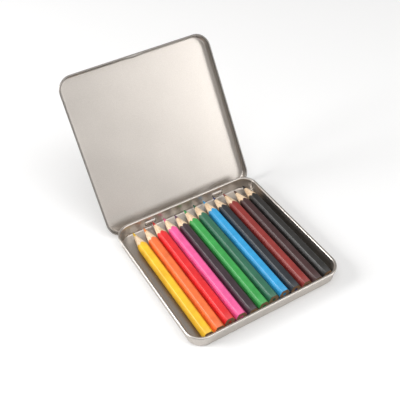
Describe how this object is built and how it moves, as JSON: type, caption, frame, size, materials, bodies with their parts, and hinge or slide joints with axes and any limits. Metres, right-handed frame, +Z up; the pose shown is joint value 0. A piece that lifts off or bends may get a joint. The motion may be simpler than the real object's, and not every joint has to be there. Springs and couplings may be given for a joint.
{
  "type": "colored pencil tin",
  "caption": "Square hinged metal tin with rolled rims, lid folded back, holding a flat row of sharpened hexagonal colored pencils that lift out",
  "frame": {"origin": "on the table, under the middle of the tray's floor", "axes": "+Y points from the tray's front to the hinge, +Z up, +X to the right when seen from the front"},
  "size_m": [0.1032, 0.1563, 0.0897],
  "materials": {
    "tinplate": "satin tinplate with a fine grain, bare inside and out",
    "casing_wood": "pale bare softwood, cut by a sharpener",
    "yellow_lacquer": "yellow gloss lacquer over wood",
    "yellow_lead": "yellow waxy pigment core",
    "orange_lacquer": "orange gloss lacquer over wood",
    "orange_lead": "orange waxy pigment core",
    "red_lacquer": "red gloss lacquer over wood",
    "red_lead": "red waxy pigment core",
    "pink_lacquer": "pink gloss lacquer over wood",
    "pink_lead": "pink waxy pigment core",
    "plum_lacquer": "plum gloss lacquer over wood",
    "plum_lead": "plum waxy pigment core",
    "green_lacquer": "green gloss lacquer over wood",
    "green_lead": "green waxy pigment core",
    "dark_green_lacquer": "dark green gloss lacquer over wood",
    "dark_green_lead": "dark green waxy pigment core",
    "sky_blue_lacquer": "sky blue gloss lacquer over wood",
    "sky_blue_lead": "sky blue waxy pigment core",
    "navy_lacquer": "navy gloss lacquer over wood",
    "navy_lead": "navy waxy pigment core",
    "red_brown_lacquer": "red brown gloss lacquer over wood",
    "red_brown_lead": "red brown waxy pigment core",
    "dark_brown_lacquer": "dark brown gloss lacquer over wood",
    "dark_brown_lead": "dark brown waxy pigment core",
    "black_lacquer": "black gloss lacquer over wood",
    "black_lead": "black waxy pigment core"
  },
  "bodies": {
    "tray": {"base_tray": "tinplate"},
    "lid": {"lid": "tinplate"},
    "yellow_pencil": {"yellow_pencil_lacquer": "yellow_lacquer", "yellow_pencil_wood": "casing_wood", "yellow_pencil_lead": "yellow_lead"},
    "orange_pencil": {"orange_pencil_lacquer": "orange_lacquer", "orange_pencil_wood": "casing_wood", "orange_pencil_lead": "orange_lead"},
    "red_pencil": {"red_pencil_lacquer": "red_lacquer", "red_pencil_wood": "casing_wood", "red_pencil_lead": "red_lead"},
    "pink_pencil": {"pink_pencil_lacquer": "pink_lacquer", "pink_pencil_wood": "casing_wood", "pink_pencil_lead": "pink_lead"},
    "plum_pencil": {"plum_pencil_lacquer": "plum_lacquer", "plum_pencil_wood": "casing_wood", "plum_pencil_lead": "plum_lead"},
    "green_pencil": {"green_pencil_lacquer": "green_lacquer", "green_pencil_wood": "casing_wood", "green_pencil_lead": "green_lead"},
    "dark_green_pencil": {"dark_green_pencil_lacquer": "dark_green_lacquer", "dark_green_pencil_wood": "casing_wood", "dark_green_pencil_lead": "dark_green_lead"},
    "sky_blue_pencil": {"sky_blue_pencil_lacquer": "sky_blue_lacquer", "sky_blue_pencil_wood": "casing_wood", "sky_blue_pencil_lead": "sky_blue_lead"},
    "navy_pencil": {"navy_pencil_lacquer": "navy_lacquer", "navy_pencil_wood": "casing_wood", "navy_pencil_lead": "navy_lead"},
    "red_brown_pencil": {"red_brown_pencil_lacquer": "red_brown_lacquer", "red_brown_pencil_wood": "casing_wood", "red_brown_pencil_lead": "red_brown_lead"},
    "dark_brown_pencil": {"dark_brown_pencil_lacquer": "dark_brown_lacquer", "dark_brown_pencil_wood": "casing_wood", "dark_brown_pencil_lead": "dark_brown_lead"},
    "black_pencil": {"black_pencil_lacquer": "black_lacquer", "black_pencil_wood": "casing_wood", "black_pencil_lead": "black_lead"}
  },
  "joints": [
    {"name": "lid_hinge", "type": "hinge", "parent": "tray", "child": "lid", "pos_m": [0, 0.0495, 0.0037], "axis": [-1, 0, 0], "range_deg": [-121.5, 0]},
    {"name": "yellow_pencil_lift", "type": "slide", "parent": "tray", "child": "yellow_pencil", "axis": [0, 0, 1], "range_m": [0, 0.03]},
    {"name": "orange_pencil_lift", "type": "slide", "parent": "tray", "child": "orange_pencil", "axis": [0, 0, 1], "range_m": [0, 0.03]},
    {"name": "red_pencil_lift", "type": "slide", "parent": "tray", "child": "red_pencil", "axis": [0, 0, 1], "range_m": [0, 0.03]},
    {"name": "pink_pencil_lift", "type": "slide", "parent": "tray", "child": "pink_pencil", "axis": [0, 0, 1], "range_m": [0, 0.03]},
    {"name": "plum_pencil_lift", "type": "slide", "parent": "tray", "child": "plum_pencil", "axis": [0, 0, 1], "range_m": [0, 0.03]},
    {"name": "green_pencil_lift", "type": "slide", "parent": "tray", "child": "green_pencil", "axis": [0, 0, 1], "range_m": [0, 0.03]},
    {"name": "dark_green_pencil_lift", "type": "slide", "parent": "tray", "child": "dark_green_pencil", "axis": [0, 0, 1], "range_m": [0, 0.03]},
    {"name": "sky_blue_pencil_lift", "type": "slide", "parent": "tray", "child": "sky_blue_pencil", "axis": [0, 0, 1], "range_m": [0, 0.03]},
    {"name": "navy_pencil_lift", "type": "slide", "parent": "tray", "child": "navy_pencil", "axis": [0, 0, 1], "range_m": [0, 0.03]},
    {"name": "red_brown_pencil_lift", "type": "slide", "parent": "tray", "child": "red_brown_pencil", "axis": [0, 0, 1], "range_m": [0, 0.03]},
    {"name": "dark_brown_pencil_lift", "type": "slide", "parent": "tray", "child": "dark_brown_pencil", "axis": [0, 0, 1], "range_m": [0, 0.03]},
    {"name": "black_pencil_lift", "type": "slide", "parent": "tray", "child": "black_pencil", "axis": [0, 0, 1], "range_m": [0, 0.03]}
  ]
}
